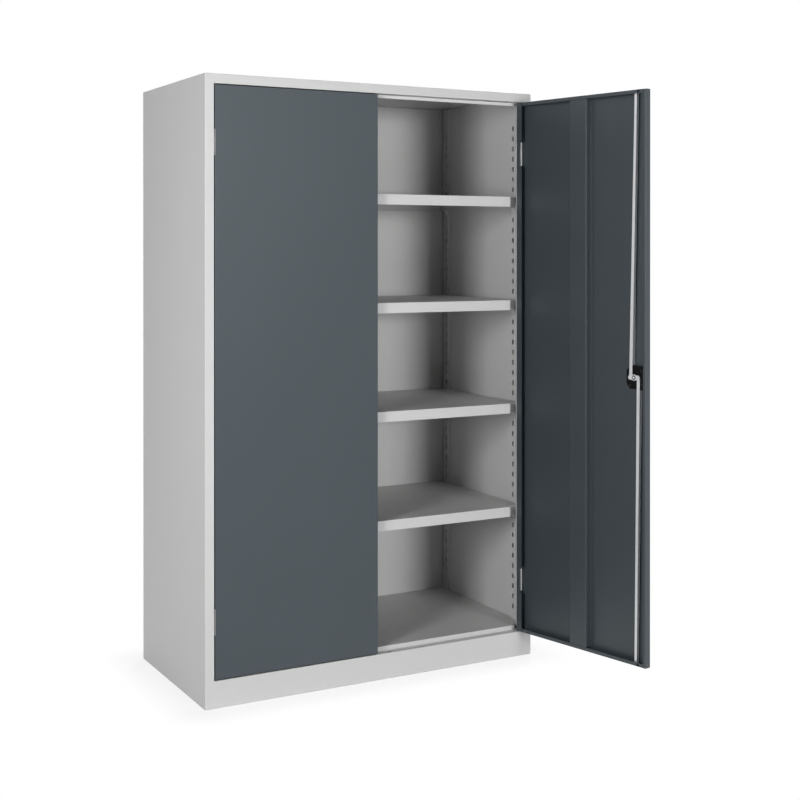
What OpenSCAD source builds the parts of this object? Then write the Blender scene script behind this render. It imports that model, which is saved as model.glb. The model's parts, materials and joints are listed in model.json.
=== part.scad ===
// Steel cabinet with two inset wing doors, four shelves and a rod lock.
// Frame: origin on the floor under the middle of the carcass, X to the right,
// Y to the back, Z up. The left door is shut and the right door stands open.

/* [Carcass] */
// width over the two side panels
cab_w = 1200; // [1000:10:1400]
// depth from front frame to back
cab_d = 600; // [500:10:700]
// height over everything
cab_h = 1950; // [1800:10:2100]
// sheet thickness of panels, doors and shelves
sheet = 1; // [0.8:0.1:1.5]
// outside radius of a bend
bend_r = 2; // [1.8:0.1:3]
// width of the front frame beside and above the doors
frame_w = 30; // [28:1:36]
// height of the plinth below the doors
plinth_h = 84; // [70:1:110]
// depth of the folded front posts
stile_depth = 50; // [45:1:60]
// height of the floor's folded edge
floor_fold = 16; // [12:1:20]
// how far the stop rail hangs below the front frame
stop_drop = 12; // [8:1:16]

/* [Shelves] */
// number of shelves
shelf_count = 4; // [1:1:4]
// height of the lowest shelf's top face
shelf_first = 513; // [513:36:621]
// slot spacing in the four uprights
slot_pitch = 36; // [36:1:36]
// slots between one shelf and the next
shelf_step = 10; // [8:1:10]
// height of a shelf's folded edge
shelf_fold = 35; // [25:1:40]

/* [Doors] */
// gap between a door and the front frame
door_gap = 3.2; // [3:0.1:4]
// gap between the two doors
centre_gap = 4; // [3:0.5:6]
// thickness of a door pan
door_t = 25; // [24:0.5:28]
// width of the right door's inner border beside its free edge
border_free = 9.5; // [8:0.5:12]
// width of the left door's inner border, which carries the closing strip
border_strip = 26; // [20:1:28]
// width of the inner border beside the hinges
border_hinge = 24; // [20:1:26]
// width of the inner border at top and bottom
border_end = 12; // [10:1:14]
// width over the door stiffener's crown
stiffener_w = 72; // [50:1:90]
// how far the right door stands open, in degrees
open_angle = 102; // [0:1:106]

/* [Hinges] */
// hinge axis inboard of the frame's edge
axis_in = 6.5; // [6.5:0.1:7]
// hinge axis behind the door's front face
axis_back = 5; // [5:0.1:5.2]
// outside diameter of a knuckle
knuckle_d = 7; // [6.6:0.1:7]
// length of a hinge
hinge_h = 80; // [70:1:100]
// distance from a door's end to the hinge's middle
hinge_inset = 177; // [120:1:240]

/* [Lock] */
// distance from the free edge to the lock's spindle
lock_in = 50; // [46:1:56]
// radius of the rod pins on the cam
cam_r = 15.5; // [13:0.5:16]
// distance from the free edge to the rods' guide slots
guide_in = 45; // [44:0.5:50]
// width of a lock rod at its tip
rod_w = 9; // [8:0.5:10]
// width of a lock rod beside the cam
rod_root_w = 12; // [10:0.5:12]
// depth of a lock rod
rod_t = 11; // [9:0.5:11]
// depth of a lock rod beside the cam
rod_root_t = 15; // [11:0.5:15]
// length of the turning handle
handle_l = 60; // [54:1:64]

/* [Hidden] */
$fn = 48;
eps = 0.01;
hx = cab_w / 2;
y_front = -cab_d / 2;
y_back = cab_d / 2;
jamb_x = hx - frame_w;
wall_x = hx - sheet;
head_z = cab_h - frame_w;
// what the inside of a bend takes from a corner
fillet = bend_r - sheet + 0.2;

// uprights with slots
post_x = hx - 10;
post_front_y = y_front + 96;
post_rear_y = y_back - 42;
post_crown = 24;
post_foot = 10;
slot_w = 11;
slot_h = 18;
floor_z = plinth_h + floor_fold;
slot_first = shelf_first - shelf_fold - slot_h / 2 - slot_pitch * 9;
slot_count = floor((cab_h - 110 - slot_first) / slot_pitch) + 1;

// floor, shelves and stop rail
recess_y = y_front + door_t + 1;
notch_y = y_front + stile_depth + 4;
recess_w = jamb_x - 20;
shelf_y = y_front + door_t + 5;
shelf_tab_w = jamb_x - 35;
shelf_w = post_x - 2;
shelf_back_y = y_back - 4;
hem = 12;

// a door in its shut position, right-hand one
door_x0 = centre_gap / 2;
door_x1 = jamb_x - door_gap;
door_z0 = plinth_h + 3;
door_z1 = head_z - 3;
door_mid_z = (door_z0 + door_z1) / 2;
door_mid_x = (door_x0 + door_x1) / 2;
skin_y = y_front + sheet;
inner_y = y_front + door_t;
axis_x = jamb_x - axis_in;
axis_y = y_front + axis_back;
hinge_zs = [door_z0 + hinge_inset, door_z1 - hinge_inset];
hinge_side = door_x1 - axis_x;

// hinge leaves and pins
knuckle_r = knuckle_d / 2;
pin_r = 1.8;
pin_play = 0.05;
mid_knuckle_h = hinge_h * 0.515;
knuckle_gap = 0.3;
frame_leaf_t = 1.4;
door_leaf_t = 1.2;
frame_leaf_l = stile_depth - axis_back - 2;
door_leaf_l = door_t - axis_back - 1;

// lock
lock_x = door_x0 + lock_in;
guide_x = door_x0 + guide_in;
case_y = y_front + 15;
tongue_y = case_y + 1;
tongue_t = 1.5;
tongue_l = 40;
cam_y = tongue_y + tongue_t + 0.2;
cam_t = 3;
cam_end_r = 7.5;
rod_l = (door_z1 - door_z0) / 2 - 2;
upper_tilt = asin((cam_r + lock_x - guide_x) / rod_l);
lower_tilt = asin((cam_r - lock_x + guide_x) / rod_l);
root_l = 300;
rod_sway = 0.21 * cam_r;
rod_play = 0.45;
rod_y0 = tongue_y + tongue_t - rod_t;
rod_pin_r = 3;
spindle_r = 6;
hub_r = 12;
rosette_t = 7;
case_w0 = 38;
case_w1 = 34;
case_h = 74;

side_left();
side_right();
top_panel();
back_panel();
floor_panel();
plinth_front();
base_frame();
stop_rail();
post_front_left();
post_front_right();
post_rear_left();
post_rear_right();
shelf_1();
shelf_2();
shelf_3();
shelf_4();
clips_1();
clips_2();
clips_3();
clips_4();
left_frame_leaves();
right_frame_leaves();
left_door_pan();
left_door_stiffener();
left_door_strip();
left_door_leaves();
left_hinge_pins();
right_door_pan();
right_door_stiffener();
right_door_leaves();
right_hinge_pins();
lock_case();
case_screws();
handle_rosette();
turn_handle();
lock_cylinder();
spindle();
cam();
cam_screw();
rod_pins();
upper_rod();
lower_rod();

// ---------- paint and metal ----------

module light_grey() color([0.76, 0.77, 0.77]) children();
module dark_grey() color([0.24, 0.27, 0.30]) children();
module zinc() color([0.74, 0.75, 0.77]) children();
module black_plastic() color([0.04, 0.04, 0.045]) children();
module black_steel() color([0.09, 0.09, 0.09]) children();

// ---------- shared shapes ----------

// the direction from one point to the next
function heading(a, b) = (b - a) / norm(b - a);

// one straight run of a bent sheet, trimmed where it meets a bend
module sheet_run(a, b, trim_a, trim_b) {
    d = heading(a, b);
    n = [-d[1], d[0]] * sheet / 2;
    p = a + d * trim_a;
    q = b - d * trim_b;
    polygon([p + n, q + n, q - n, p - n]);
}

// a quarter ring that joins two runs at a right angle
module sheet_bend(a, corner, b) {
    d1 = heading(a, corner);
    d2 = heading(corner, b);
    mid_r = bend_r - sheet / 2;
    c = corner - d1 * mid_r + d2 * mid_r;
    reach = bend_r + sheet;
    intersection() {
        translate(c)
            difference() {
                circle(r = bend_r);
                circle(r = bend_r - sheet);
            }
        polygon([c, c + d1 * reach, c + (d1 - d2) * reach, c - d2 * reach]);
    }
}

// a sheet of some length, folded along the points of its middle line at right angles
module folded(pts, length) {
    last = len(pts) - 1;
    trim = bend_r - sheet / 2;
    for (i = [0 : last - 1])
        linear_extrude(height = length)
            sheet_run(pts[i], pts[i + 1], i == 0 ? 0 : trim, i == last - 1 ? 0 : trim);
    for (i = [1 : last - 1])
        linear_extrude(height = length)
            sheet_bend(pts[i - 1], pts[i], pts[i + 1]);
}

// a folded sheet whose profile lies in Y and Z and runs along X, centred
module folded_across(pts, half)
    translate([-half, 0, 0])
        rotate([90, 0, 90])
            folded(pts, 2 * half);

// a profile in X and Z, drawn out along Y between two planes
module inward(y0, y1)
    translate([0, y1, 0])
        rotate([90, 0, 0])
            linear_extrude(height = y1 - y0)
                children();

// what is cut from a square edge to round it, the edge at the origin along Z
module edge_cut(r, h)
    difference() {
        translate([-1, -1, -1])
            cube([r + 1, r + 1, h + 2]);
        translate([r, r, -2])
            cylinder(r = r, h = h + 4);
    }

// outline with a narrower front part that fits between the front posts
function tee(w_front, w_rear, y0, y1, y2) = [
    [-w_front, y0], [w_front, y0], [w_front, y1], [w_rear, y1],
    [w_rear, y2], [-w_rear, y2], [-w_rear, y1], [-w_front, y1]
];

// a shallow tray with that outline, open below, its top face at z = 0
module tray(w_front, w_rear, y0, y1, y2, fold) {
    difference() {
        translate([0, 0, -fold])
            linear_extrude(height = fold)
                polygon(tee(w_front, w_rear, y0, y1, y2));
        translate([0, 0, -fold - 1])
            linear_extrude(height = fold + 1 - sheet)
                polygon(tee(w_front - sheet, w_rear - sheet, y0 + sheet, y1 + sheet, y2 - sheet));
        // rounded front edge
        translate([-w_front, y0, 0])
            rotate([0, 90, 0])
                edge_cut(bend_r - 0.4, 2 * w_front);
    }
}

module mirrored() mirror([1, 0, 0]) children();

// ---------- carcass ----------

// a side panel with its front post and rear flange folded from one sheet
module side_panel() {
    difference() {
        folded([
            [hx - 16, y_front + stile_depth - sheet / 2],
            [jamb_x + sheet / 2, y_front + stile_depth - sheet / 2],
            [jamb_x + sheet / 2, y_front + sheet / 2],
            [hx - sheet / 2, y_front + sheet / 2],
            [hx - sheet / 2, y_back - sheet / 2],
            [jamb_x, y_back - sheet / 2]
        ], cab_h);
        // room for the top panel's edge
        translate([jamb_x - 1, y_front + sheet, cab_h - sheet])
            cube([frame_w, cab_d - 2 * sheet, sheet + 1]);
        // rounded top front edge
        translate([jamb_x - 1, y_front, cab_h])
            rotate([0, 90, 0])
                edge_cut(bend_r, frame_w + 2);
    }
}

module side_left() light_grey() mirrored() side_panel();
module side_right() light_grey() side_panel();

// slot that a lock rod passes through, wide enough for the rod's sway
module rod_slot(z, upper, extra) {
    x0 = guide_x - rod_w / 2 - rod_play - extra - (upper ? 0 : rod_sway);
    x1 = guide_x + rod_w / 2 + rod_play + extra + (upper ? rod_sway : 0);
    translate([x0, rod_y0 - 0.7 - extra, z - 3])
        cube([x1 - x0, rod_t + 1.4 + 2 * extra, 6]);
}

module top_panel()
    light_grey()
        difference() {
            union() {
                folded_across([
                    [y_back - sheet / 2, cab_h - 25],
                    [y_back - sheet / 2, cab_h - sheet / 2],
                    [y_front + sheet / 2, cab_h - sheet / 2],
                    [y_front + sheet / 2, head_z + sheet / 2],
                    [recess_y + 16, head_z + sheet / 2]
                ], jamb_x);
                for (side = [-1, 1])
                    translate([side > 0 ? jamb_x - eps : -wall_x, y_front + sheet, cab_h - sheet])
                        cube([frame_w - sheet + eps, cab_d - 2 * sheet, sheet]);
            }
            rod_slot(head_z, true, 1);
        }

module back_panel()
    light_grey()
        translate([-wall_x + fillet, y_back - 2 * sheet, 2])
            cube([2 * (wall_x - fillet), sheet, cab_h - sheet - fillet - 2]);

module floor_panel()
    light_grey()
        translate([0, 0, floor_z])
            tray(recess_w, wall_x - 0.3, recess_y, notch_y, y_back - 2 * sheet, floor_fold);

module plinth_front()
    light_grey()
        difference() {
            folded_across([
                [y_front + sheet / 2, 0],
                [y_front + sheet / 2, plinth_h - sheet / 2],
                [recess_y + 12, plinth_h - sheet / 2]
            ], jamb_x);
            rod_slot(plinth_h, false, 1);
        }

// ring of angle section that the cabinet stands on
module base_frame()
    light_grey()
        difference() {
            mirror([0, 0, 1])
                tray(jamb_x, wall_x, y_front + sheet, notch_y, y_back - 2 * sheet, 40);
            translate([-hx + 60, y_front + 40, -1])
                cube([cab_w - 120, cab_d - 80, 42]);
        }

// strip behind the front frame that the doors close against
module stop_rail()
    light_grey()
        folded_across([
            [recess_y + 14, head_z - sheet / 2],
            [recess_y + sheet / 2, head_z - sheet / 2],
            [recess_y + sheet / 2, head_z - stop_drop + sheet / 2],
            [recess_y + 11, head_z - stop_drop + sheet / 2]
        ], recess_w);

// a hat-section upright with a ladder of slots for the shelf clips
module post(y) {
    flat_x = wall_x - sheet / 2;
    crown_x = post_x + sheet / 2;
    half = post_crown / 2;
    difference() {
        translate([0, 0, floor_z])
            folded([
                [flat_x, y - half - post_foot],
                [flat_x, y - half],
                [crown_x, y - half],
                [crown_x, y + half],
                [flat_x, y + half],
                [flat_x, y + half + post_foot]
            ], cab_h - 5 - floor_z);
        for (k = [0 : slot_count - 1])
            translate([post_x - 1, y, slot_first + k * slot_pitch])
                rotate([0, 90, 0])
                    linear_extrude(height = sheet + 3)
                        union() {
                            square([slot_h - slot_w, slot_w], center = true);
                            for (end = [-1, 1])
                                translate([end * (slot_h - slot_w) / 2, 0])
                                    circle(d = slot_w);
                        }
    }
}

module post_front_left() light_grey() mirrored() post(post_front_y);
module post_front_right() light_grey() post(post_front_y);
module post_rear_left() light_grey() mirrored() post(post_rear_y);
module post_rear_right() light_grey() post(post_rear_y);

// ---------- shelves ----------

function shelf_z(i) = shelf_first + (i - 1) * shelf_step * slot_pitch;

module shelf(i)
    if (i <= shelf_count)
        light_grey()
            translate([0, 0, shelf_z(i)])
                difference() {
                    union() {
                        tray(shelf_tab_w, shelf_w, shelf_y, notch_y, shelf_back_y, shelf_fold);
                        // the folded edges turn in again below, front and back
                        for (edge = [[shelf_y, shelf_tab_w], [shelf_back_y - hem, shelf_w]])
                            translate([-edge[1], edge[0], -shelf_fold])
                                cube([2 * edge[1], hem, sheet]);
                    }
                    // rounded lower front edge
                    translate([-shelf_tab_w, shelf_y, -shelf_fold])
                        mirror([0, 0, 1])
                            rotate([0, 90, 0])
                                edge_cut(bend_r - 0.4, 2 * shelf_tab_w);
                }

module shelf_1() shelf(1);
module shelf_2() shelf(2);
module shelf_3() shelf(3);
module shelf_4() shelf(4);

// a bent clip: shelf rest, plate on the upright and hook behind the slot
module clip() {
    plate_t = 1.4;
    plate_w = 14;
    rest_l = 16;
    plate_h = 16;
    hook_w = 8;
    hook_h = 6;
    translate([post_x - rest_l, -plate_w / 2, -plate_t])
        cube([rest_l, plate_w, plate_t]);
    translate([post_x - plate_t, -plate_w / 2, -plate_h])
        cube([plate_t, plate_w, plate_h]);
    translate([post_x - plate_t, -hook_w / 2, -slot_h / 2 - 1])
        cube([plate_t + sheet + 1.7, hook_w, hook_h]);
    translate([post_x + sheet + 0.3, -hook_w / 2, -slot_h / 2 - 1])
        cube([plate_t, hook_w, slot_h / 2 + 6]);
}

module clips(i)
    if (i <= shelf_count)
        zinc()
            for (y = [post_front_y, post_rear_y])
                translate([0, y, shelf_z(i) - shelf_fold]) {
                    clip();
                    mirrored() clip();
                }

module clips_1() clips(1);
module clips_2() clips(2);
module clips_3() clips(3);
module clips_4() clips(4);

// ---------- door pan, drawn shut on the right-hand side ----------

// rounds the edges of the pan's closed box
module pan_edges() {
    w = door_x1 - door_x0;
    h = door_z1 - door_z0;
    for (my = [0, 1])
        translate([0, my * (y_front + inner_y), 0])
            mirror([0, my, 0]) {
                translate([door_x0, y_front, door_z0])
                    edge_cut(bend_r, h);
                translate([door_x1, y_front, door_z0])
                    mirror([1, 0, 0])
                        edge_cut(bend_r, h);
                translate([door_x0, y_front, door_z1])
                    rotate([0, 90, 0])
                        edge_cut(bend_r, w);
                translate([door_x0, y_front, door_z0])
                    mirror([0, 0, 1])
                        rotate([0, 90, 0])
                            edge_cut(bend_r, w);
            }
}

// holes in the border at the door's lower end: a long one near the free edge with a
// slit up to the window, a round one near the hinges
module border_holes() {
    hole_r = 2.5;
    long_x = door_x0 + 29.5;
    long_z = 5;
    half = 2.2;
    slit_w = 1.6;
    depth = 3 * sheet;
    translate([0, inner_y + 1 - depth, door_z0]) {
        for (p = [[long_x - half, long_z], [long_x + half, long_z], [door_x1 - border_hinge, 6.4]])
            translate([p[0], depth, p[1]])
                rotate([90, 0, 0])
                    cylinder(r = hole_r, h = depth);
        translate([long_x - half, 0, long_z - hole_r])
            cube([2 * half, depth, 2 * hole_r]);
        translate([long_x - slit_w / 2, 0, long_z])
            cube([slit_w, depth, border_end - long_z + 1]);
    }
}

// the window that the inner border leaves, with the holes at both ends
module pan_window(free_w) {
    x0 = door_x0 + free_w;
    x1 = door_x1 - border_hinge;
    translate([x0, inner_y - 2 * sheet, door_z0 + border_end])
        cube([x1 - x0, 4 * sheet, door_z1 - door_z0 - 2 * border_end]);
    for (end = [0, 1])
        translate([0, 0, end * (door_z0 + door_z1)])
            mirror([0, 0, end])
                border_holes();
}

// openings for one hinge: knuckles and straps in the edge, a bay in the border
module pan_hinge_cut() {
    lip = door_x1 - 2 * sheet;
    translate([lip, skin_y, -hinge_h / 2 - 1])
        cube([4 * sheet, axis_back - sheet + 4.5, hinge_h + 2]);
    translate([lip, skin_y, -mid_knuckle_h / 2 - 1])
        cube([4 * sheet, axis_back - sheet + 9.5, mid_knuckle_h + 2]);
    translate([door_x1 - border_hinge - 1, inner_y - 2 * sheet, -hinge_h / 2 - 2])
        cube([9, 4 * sheet, hinge_h + 4]);
}

module door_pan(locked_side) {
    difference() {
        translate([door_x0, y_front, door_z0])
            cube([door_x1 - door_x0, door_t, door_z1 - door_z0]);
        pan_edges();
        translate([door_x0 + sheet, skin_y, door_z0 + sheet])
            cube([door_x1 - door_x0 - 2 * sheet, door_t - 2 * sheet, door_z1 - door_z0 - 2 * sheet]);
        pan_window(locked_side ? border_free : border_strip);
        for (z = hinge_zs)
            translate([0, 0, z])
                pan_hinge_cut();
        if (locked_side) {
            rod_slot(door_z1, true, 0);
            rod_slot(door_z0, false, 0);
            translate([lock_x, skin_y + 1, door_mid_z])
                rotate([90, 0, 0])
                    cylinder(r = spindle_r + 1, h = 3);
        }
    }
}

// full-height hat section in the middle of the door
module door_stiffener() {
    half = (stiffener_w - sheet) / 2;
    foot = 12;
    clear = border_end + 1;
    translate([door_mid_x, 0, door_z0 + clear])
        folded([
            [-half - foot, skin_y + sheet / 2],
            [-half, skin_y + sheet / 2],
            [-half, inner_y - sheet / 2],
            [half, inner_y - sheet / 2],
            [half, skin_y + sheet / 2],
            [half + foot, skin_y + sheet / 2]
        ], door_z1 - door_z0 - 2 * clear);
}

// ---------- hinges, drawn shut on the right-hand side ----------

module knuckle(z0, z1, bore)
    translate([0, 0, z0])
        difference() {
            cylinder(r = knuckle_r, h = z1 - z0);
            translate([0, 0, -1])
                cylinder(r = bore, h = z1 - z0 + 2);
        }

// a bent strap beside a knuckle, cut clear of the bore
module strap(z0, z1, bore, pts)
    translate([0, 0, z0])
        difference() {
            linear_extrude(height = z1 - z0)
                polygon(pts);
            translate([0, 0, -1])
                cylinder(r = bore, h = z1 - z0 + 2);
        }

// middle knuckle with its leaf on the side of the front post
module frame_leaf() {
    half = mid_knuckle_h / 2;
    bore = pin_r + pin_play;
    inner = axis_in - frame_leaf_t;
    knuckle(-half, half, bore);
    strap(-half, half, bore, [
        [1.2, 0], [2.6, 0], [2.6, 5.2], [axis_in, 9], [axis_in, frame_leaf_l],
        [inner, frame_leaf_l], [inner, 9.6], [1.2, 5.8]
    ]);
}

// two end knuckles on the leaf that covers the outside of the door's edge
module door_leaf() {
    half = hinge_h / 2;
    inner = mid_knuckle_h / 2 + knuckle_gap;
    outer = hinge_side + door_leaf_t;
    for (s = [-1, 1])
        mirror([0, 0, s > 0 ? 0 : 1]) {
            knuckle(inner, half, pin_r);
            strap(inner, half, pin_r, [
                [2.0, 1.2], [3.3, 0.9], [outer, 3.6], [outer, 11.5],
                [hinge_side, 11.5], [hinge_side, 4.3]
            ]);
        }
    translate([hinge_side, 11, -half])
        cube([door_leaf_t, door_leaf_l - 11, hinge_h]);
}

module hinge_pin() {
    head_t = 0.8;
    translate([0, 0, -hinge_h / 2])
        cylinder(r = pin_r, h = hinge_h);
    for (s = [-1, 1])
        mirror([0, 0, s > 0 ? 0 : 1])
            translate([0, 0, hinge_h / 2])
                cylinder(r1 = pin_r + 0.8, r2 = pin_r + 0.3, h = head_t);
}

module at_hinges()
    for (z = hinge_zs)
        translate([axis_x, axis_y, z])
            children();

module left_frame_leaves() zinc() mirrored() at_hinges() frame_leaf();
module right_frame_leaves() zinc() at_hinges() frame_leaf();

// ---------- left door, shut ----------

module left_door_pan() dark_grey() mirrored() door_pan(false);
module left_door_stiffener() dark_grey() mirrored() door_stiffener();
module left_door_leaves() zinc() mirrored() at_hinges() door_leaf();
module left_hinge_pins() zinc() mirrored() at_hinges() hinge_pin();

// strip on the left door's inner border that the right door closes against
module left_door_strip() {
    strip_t = 1.2;
    set_back = 0.8;
    reach = 10;
    z0 = floor_z + 4;
    z1 = head_z - stop_drop - 4;
    dark_grey()
        translate([0, 0, z0])
            linear_extrude(height = z1 - z0)
                polygon([
                    [-door_x0 - border_strip + 2, inner_y],
                    [-door_x0 - bend_r, inner_y],
                    [-door_x0, inner_y + set_back],
                    [reach, inner_y + set_back],
                    [reach, inner_y + set_back + strip_t],
                    [-door_x0 - 0.4, inner_y + set_back + strip_t],
                    [-door_x0 - bend_r - 0.4, inner_y + strip_t],
                    [-door_x0 - border_strip + 2, inner_y + strip_t]
                ]);
}

// ---------- right door, swung open about its hinge axis ----------

module swung_open()
    translate([axis_x, axis_y, 0])
        rotate([0, 0, open_angle])
            translate([-axis_x, -axis_y, 0])
                children();

module right_door_pan() dark_grey() swung_open() door_pan(true);
module right_door_stiffener() dark_grey() swung_open() door_stiffener();
module right_door_leaves() zinc() swung_open() at_hinges() door_leaf();
module right_hinge_pins() zinc() swung_open() at_hinges() hinge_pin();

// ---------- rod lock on the right door ----------

// moves a shape drawn about the spindle to its place on the door
module at_lock()
    swung_open()
        translate([lock_x, 0, door_mid_z])
            children();

// a disc or bar along Y between two planes
module bar_y(r, y0, y1)
    translate([0, y1, 0])
        rotate([90, 0, 0])
            cylinder(r = r, h = y1 - y0);

function case_holes() = [[-24, 22], [-24, -22], [20, 26], [20, -26]];

module lock_case()
    black_plastic()
        at_lock()
            difference() {
                inward(skin_y, case_y)
                    polygon([
                        [-case_w0, -case_h / 2], [case_w1 - 13, -case_h / 2],
                        [case_w1, -case_h / 2 + 16], [case_w1, case_h / 2 - 16],
                        [case_w1 - 13, case_h / 2], [-case_w0, case_h / 2]
                    ]);
                bar_y(spindle_r + pin_play, y_front - 1, case_y + 1);
                for (p = case_holes())
                    translate([p[0], 0, p[1]]) {
                        bar_y(1.8, y_front, case_y + 1);
                        bar_y(3.4, case_y - 2.4, case_y + 1);
                    }
            }

module case_screws()
    black_steel()
        at_lock()
            for (p = case_holes())
                translate([p[0], 0, p[1]])
                    difference() {
                        union() {
                            bar_y(1.8, skin_y, case_y - 2);
                            bar_y(3.2, case_y - 2.4, case_y - 0.2);
                        }
                        translate([-2.2, case_y - 1.2, -0.4])
                            cube([4.4, 2, 0.8]);
                        translate([-0.4, case_y - 1.2, -2.2])
                            cube([0.8, 2, 4.4]);
                    }

// round plate outside the door that guides the handle's hub
module handle_rosette()
    black_plastic()
        at_lock()
            translate([0, y_front, 0])
                rotate([90, 0, 0])
                    difference() {
                        union() {
                            cylinder(r = 28, h = rosette_t - 2);
                            translate([0, 0, rosette_t - 2])
                                cylinder(r1 = 28, r2 = 25, h = 2);
                        }
                        translate([0, 0, -1])
                            cylinder(r = hub_r + pin_play, h = rosette_t + 2);
                    }

// hub and two wings, with pockets for the spindle and the cylinder
module turn_handle()
    black_plastic()
        at_lock()
            difference() {
                union() {
                    bar_y(hub_r, y_front - 24, y_front - 0.4);
                    inward(y_front - 23, y_front - rosette_t - 1.5)
                        union() {
                            circle(r = hub_r + 2.5);
                            for (s = [-1, 1]) {
                                translate([s * (handle_l / 2 - 8), 0])
                                    circle(r = 8);
                                polygon([
                                    [0, -hub_r - 0.5], [s * (handle_l / 2 - 8), -8],
                                    [s * (handle_l / 2 - 8), 8], [0, hub_r + 0.5]
                                ]);
                            }
                        }
                }
                bar_y(9, y_front - 25, y_front - 11);
                translate([-4, y_front - 8, -4])
                    cube([8, 9, 8]);
            }

module lock_cylinder()
    zinc()
        at_lock()
            difference() {
                bar_y(9, y_front - 24.6, y_front - 11);
                translate([-0.7, y_front - 26, -3.6])
                    cube([1.4, 5, 7.2]);
            }

module spindle()
    zinc()
        at_lock()
            difference() {
                union() {
                    bar_y(spindle_r, y_front + 0.6, cam_y);
                    translate([-4, y_front - 7.6, -4])
                        cube([8, cam_y + cam_t - y_front + 7.6, 8]);
                }
                bar_y(2, cam_y - 6, cam_y + cam_t + 1);
            }

module cam()
    zinc()
        at_lock()
            difference() {
                inward(cam_y, cam_y + cam_t)
                    union() {
                        square([2 * cam_r, 2 * cam_end_r], center = true);
                        circle(r = 9.8);
                        for (s = [-1, 1])
                            translate([s * cam_r, 0])
                                circle(r = cam_end_r);
                    }
                translate([-4, cam_y - 1, -4])
                    cube([8, cam_t + 2, 8]);
                for (s = [-1, 1])
                    translate([s * cam_r, 0, 0])
                        bar_y(rod_pin_r, cam_y - 1, cam_y + cam_t + 1);
            }

module cam_screw()
    zinc()
        at_lock()
            difference() {
                union() {
                    bar_y(2, cam_y - 5, cam_y + cam_t);
                    bar_y(7, cam_y + cam_t, cam_y + cam_t + 1.2);
                    bar_y(4.5, cam_y + cam_t + 1.2, cam_y + cam_t + 3.6);
                }
                translate([-5, cam_y + cam_t + 2.2, -0.6])
                    cube([10, 2, 1.2]);
            }

module rod_pins()
    zinc()
        at_lock()
            for (s = [-1, 1])
                translate([s * cam_r, 0, 0]) {
                    bar_y(rod_pin_r, tongue_y - 0.6, cam_y + cam_t);
                    bar_y(rod_pin_r + 1.2, tongue_y - 0.7, tongue_y - 0.15);
                    bar_y(rod_pin_r + 1.6, cam_y + cam_t, cam_y + cam_t + 1.2);
                }

// channel rod from its pin upwards: flat tongue, two flanges, rounded tip; it narrows
// all the way, and its flanges get shallower over the first stretch
module rod() {
    root = rod_root_w / 2;
    tip = rod_w / 2;
    tip_z = rod_l - tip;
    tongue_top = tongue_y + tongue_t;
    root_y = tongue_top - rod_root_t;
    difference() {
        union() {
            bar_y(root, tongue_y, tongue_top);
            translate([0, 0, tip_z])
                bar_y(tip, tongue_y, tongue_top);
            inward(tongue_y, tongue_top)
                polygon([[-root, 0], [root, 0], [tip, tip_z], [-tip, tip_z]]);
            for (side = [0, 1])
                mirror([side, 0, 0])
                    rod_flange(root, tip, tip_z, root_y);
        }
        bar_y(rod_pin_r + pin_play, tongue_y - 1, tongue_top + 1);
    }
}

// one flange: a slanted strip from the tongue's end to the tip, cut to its depth
module rod_flange(root, tip, tip_z, root_y) {
    start = root + (tip - root) * tongue_l / tip_z;
    intersection() {
        inward(root_y, tongue_y + tongue_t / 2)
            polygon([
                [start - tongue_t, tongue_l], [start, tongue_l],
                [tip, tip_z], [tip - tongue_t, tip_z]
            ]);
        translate([-rod_root_w, 0, 0])
            rotate([90, 0, 90])
                linear_extrude(height = 2 * rod_root_w)
                    polygon([
                        [root_y, tongue_l], [rod_y0, root_l], [rod_y0, tip_z],
                        [tongue_y + tongue_t, tip_z], [tongue_y + tongue_t, tongue_l]
                    ]);
    }
}

module upper_rod()
    zinc()
        at_lock()
            translate([cam_r, 0, 0])
                rotate([0, -upper_tilt, 0])
                    rod();

module lower_rod()
    zinc()
        at_lock()
            translate([-cam_r, 0, 0])
                rotate([0, -lower_tilt, 0])
                    mirror([0, 0, 1])
                        rod();
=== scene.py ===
"""Steel tool cabinet with two wing doors, the right one open.

Everything is in metres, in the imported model's frame: X right, Y back, Z up,
origin on the floor under the middle of the carcass.
"""
import json
import math

import bpy
import numpy as np
from mathutils import Matrix, Vector


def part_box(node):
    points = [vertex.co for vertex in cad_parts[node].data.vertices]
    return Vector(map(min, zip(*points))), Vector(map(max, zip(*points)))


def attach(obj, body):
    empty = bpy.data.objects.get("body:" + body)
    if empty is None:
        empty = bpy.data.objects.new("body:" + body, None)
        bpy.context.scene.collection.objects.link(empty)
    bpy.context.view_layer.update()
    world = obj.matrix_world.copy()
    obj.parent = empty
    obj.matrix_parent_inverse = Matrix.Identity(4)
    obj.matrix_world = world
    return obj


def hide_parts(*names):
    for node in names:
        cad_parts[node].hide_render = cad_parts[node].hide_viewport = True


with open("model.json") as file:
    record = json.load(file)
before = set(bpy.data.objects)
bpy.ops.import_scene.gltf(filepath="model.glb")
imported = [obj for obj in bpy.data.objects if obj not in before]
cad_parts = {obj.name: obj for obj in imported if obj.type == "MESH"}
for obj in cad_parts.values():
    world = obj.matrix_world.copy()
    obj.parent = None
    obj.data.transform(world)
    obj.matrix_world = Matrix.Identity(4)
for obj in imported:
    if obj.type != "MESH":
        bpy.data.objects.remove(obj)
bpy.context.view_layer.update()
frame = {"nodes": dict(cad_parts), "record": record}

# ---------------------------------------------------------------- sizes and colours

# the photograph's camera
IMAGE_PX = 800
SENSOR = 36.0
FOCAL_PX = 1346.5
HORIZON_PX = 252.1
VIEW_YAW = 28.825
VIEW_PITCH = -0.155
CAMERA_AT = (-2.0613, -4.1912, 1.4128)
VIEW_END = 100.0

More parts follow.
